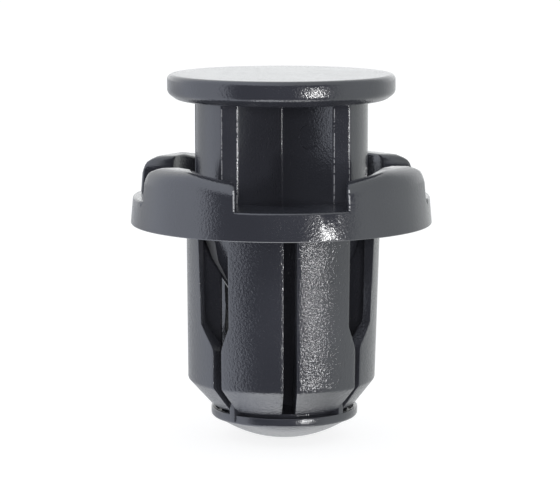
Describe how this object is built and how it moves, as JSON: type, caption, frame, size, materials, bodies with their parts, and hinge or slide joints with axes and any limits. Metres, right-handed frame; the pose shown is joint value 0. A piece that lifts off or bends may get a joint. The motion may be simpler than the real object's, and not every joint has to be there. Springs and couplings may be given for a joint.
{
  "type": "automotive clip",
  "caption": "Push-type trim retainer: a notched flange on a split, slotted barrel, and a flat-headed pin that slides down inside it to spread and lock the legs.",
  "frame": {"origin": "on the clip's axis, in the plane of the flange's underside, which rests on the panel", "axes": "+Z along the axis, from the panel towards the pin's head; the pictured side with the central slot is -Y; +X to the right"},
  "size_m": [0.0186, 0.0184, 0.0225],
  "materials": {
    "sleeve_plastic": "black moulded plastic, satin with a fine grain",
    "pin_plastic": "black moulded plastic, smooth satin"
  },
  "bodies": {
    "sleeve_body": {"sleeve": "sleeve_plastic"},
    "pin_body": {"push_pin": "pin_plastic"}
  },
  "joints": [
    {"name": "pin_slide", "type": "slide", "parent": "sleeve_body", "child": "pin_body", "axis": [0, 0, -1], "range_m": [0, 0.00589]}
  ]
}
